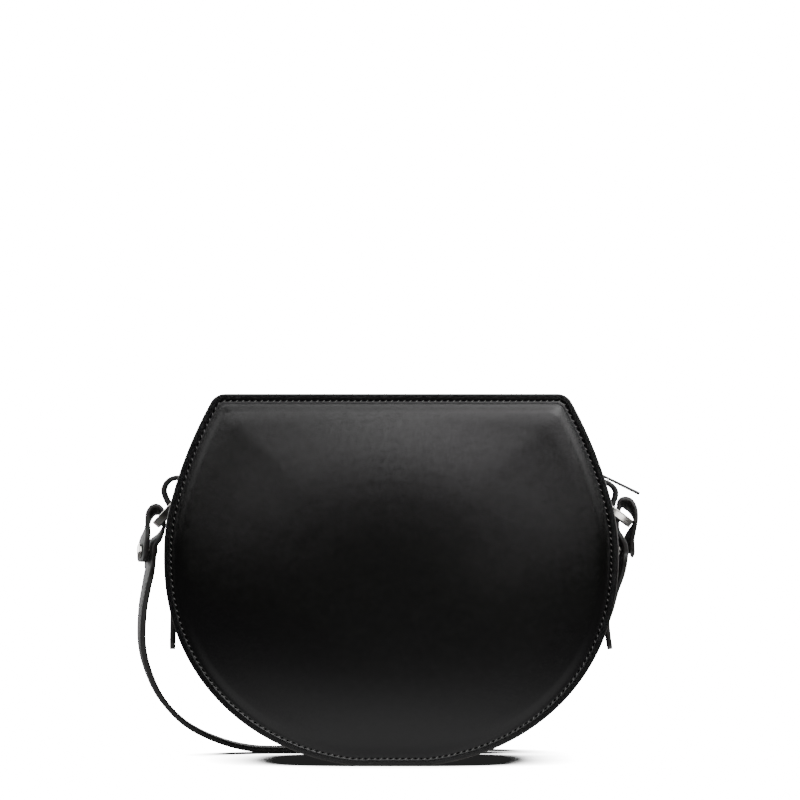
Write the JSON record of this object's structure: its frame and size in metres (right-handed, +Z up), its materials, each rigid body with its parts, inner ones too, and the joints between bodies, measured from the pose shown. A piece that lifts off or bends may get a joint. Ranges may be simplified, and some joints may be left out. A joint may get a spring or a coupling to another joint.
{
  "type": "half moon bag",
  "caption": "Small stiff half-moon shoulder bag with two domed panels, a zip over the top, and a strap that buckles behind and hangs from a ring at each side.",
  "frame": {"origin": "middle of the overall box, at its lowest level, which is the surface that the bag stands on", "axes": "+X along the bag's width to the side with the zip slider, +Y from the front panel to the strap behind, +Z up to the top of the half moon"},
  "size_m": [0.2492, 0.1102, 0.18],
  "materials": {
    "leather": "semi-gloss, smooth",
    "gusset_leather": "satin, smooth",
    "strap_leather": "semi-gloss, painted edges",
    "board": "matte fibre board",
    "lining": "woven",
    "zip_tape": "woven, with moulded teeth",
    "nickel": "polished plate",
    "dark_nickel": "dark plate"
  },
  "bodies": {
    "bag": {"back_lining": "lining", "back_panel": "leather", "back_stiffener": "board", "buckle_frame": "nickel", "buckle_keeper": "strap_leather", "front_lining": "lining", "front_panel": "leather", "front_stiffener": "board", "gusset_lining": "lining", "lower_gusset": "gusset_leather", "rivet_left": "nickel", "rivet_right": "nickel", "side_tab_left": "strap_leather", "side_tab_right": "strap_leather", "strap_long": "strap_leather", "strap_short": "strap_leather", "zip_end_stop": "dark_nickel", "zip_gusset_back": "gusset_leather", "zip_gusset_front": "gusset_leather", "zip_tape_back": "zip_tape", "zip_tape_front": "zip_tape"},
    "slider": {"zip_slider": "dark_nickel"},
    "pull": {"zip_pull": "dark_nickel"},
    "left_ring": {"ring_left": "nickel"},
    "right_ring": {"ring_right": "nickel"},
    "prong": {"buckle_prong": "nickel"}
  },
  "joints": [
    {"name": "zip_travel", "type": "hinge", "parent": "bag", "child": "slider", "pos_m": [-0.09431, -0.0146, 0.07421], "axis": [0, -1, 0], "range_deg": [0, 8], "deforming": ["zip_tape_front", "zip_tape_back"]},
    {"name": "pull_swing", "type": "hinge", "parent": "slider", "child": "pull", "pos_m": [0.10237, -0.0146, 0.14192], "axis": [0, -1, 0], "range_deg": [0, 132]},
    {"name": "ring_left_swing", "type": "hinge", "parent": "bag", "child": "left_ring", "pos_m": [-0.10314, -0.0146, 0.1273], "axis": [0, 1, 0], "range_deg": [-10, 45], "deforming": ["strap_long"]},
    {"name": "ring_right_swing", "type": "hinge", "parent": "bag", "child": "right_ring", "pos_m": [0.10746, -0.0146, 0.1256], "axis": [0, -1, 0], "range_deg": [-10, 45], "deforming": ["strap_short"]},
    {"name": "prong_lift", "type": "hinge", "parent": "bag", "child": "prong", "pos_m": [-0.00584, 0.0462, 0.0029], "axis": [0, 1, 0], "range_deg": [0, 100], "deforming": ["strap_long"]}
  ]
}
